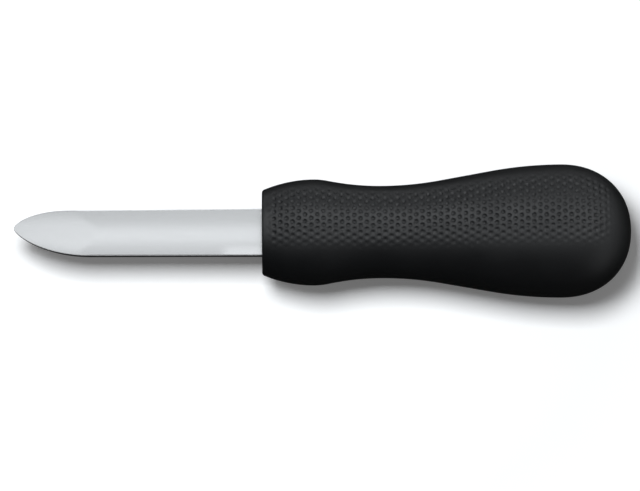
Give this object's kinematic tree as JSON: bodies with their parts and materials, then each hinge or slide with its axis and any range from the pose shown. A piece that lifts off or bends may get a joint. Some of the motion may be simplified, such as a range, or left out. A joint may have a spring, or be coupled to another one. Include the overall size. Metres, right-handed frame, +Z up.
{
  "type": "oyster knife",
  "caption": "Oyster knife with a short stiff round-tipped steel blade and a bulbous oval handle with a soft dimpled black grip, moulded round the tang.",
  "frame": {"origin": "under the middle of the whole knife's length, on the surface that the bulb of the level handle rests on", "axes": "+X along the handle towards its butt, so the blade points along -X; +Z up, square to the flat of the blade; +Y across the blade"},
  "size_m": [0.174, 0.0378, 0.03],
  "materials": {
    "blade_steel": "fine satin polish, ground along the blade",
    "core_plastic": "plain moulded",
    "grip_rubber": "soft matt, dimpled on both broad sides"
  },
  "bodies": {
    "root": {"blade": "blade_steel", "handle_core": "core_plastic", "grip_cover": "grip_rubber"}
  },
  "joints": []
}
